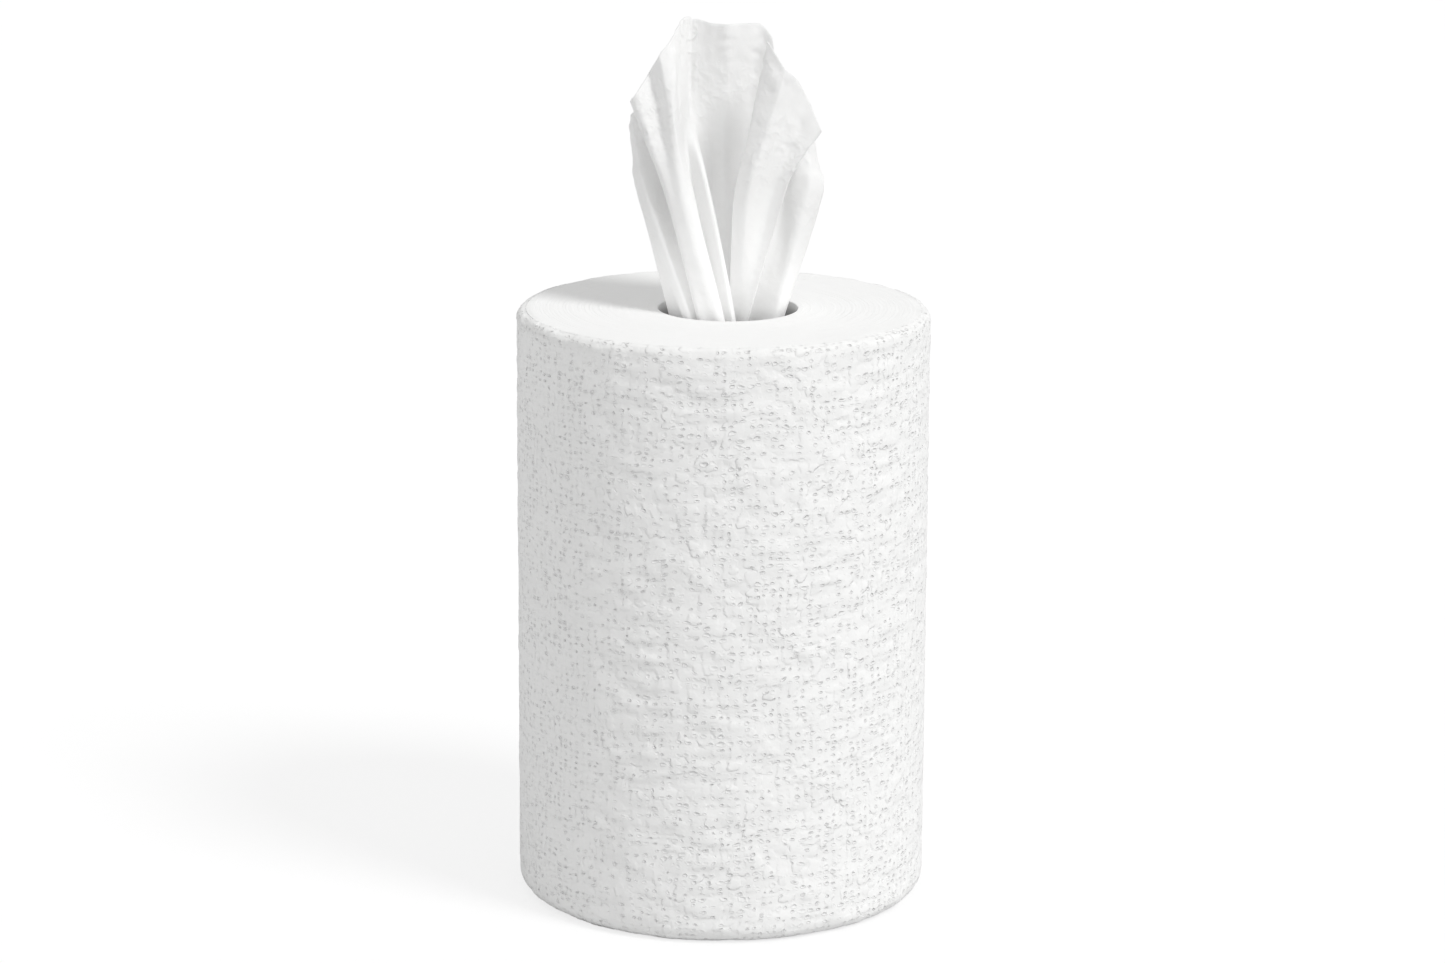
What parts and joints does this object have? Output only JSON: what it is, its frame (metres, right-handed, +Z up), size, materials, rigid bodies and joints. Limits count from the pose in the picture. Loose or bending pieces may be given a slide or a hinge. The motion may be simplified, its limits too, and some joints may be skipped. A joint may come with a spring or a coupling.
{
  "type": "paper towel roll",
  "caption": "Coreless roll of white embossed paper towelling, standing on its end, with the first towel drawn up out of the bore and fanned open in loose pleats.",
  "frame": {"origin": "under the middle of the roll, on the surface that it stands on", "axes": "+Z up along the roll, out of the end that the towel is drawn from; -Y toward the towel's torn flap, where the picture was taken from; +X to the right from there"},
  "size_m": [0.1713, 0.171, 0.3677],
  "materials": {
    "wound_roll": "matt white embossed tissue, wound tight",
    "leading_towel": "matt white tissue, pleated and creased"
  },
  "bodies": {
    "root": {"wound_roll": "wound_roll", "leading_towel": "leading_towel"}
  },
  "joints": []
}
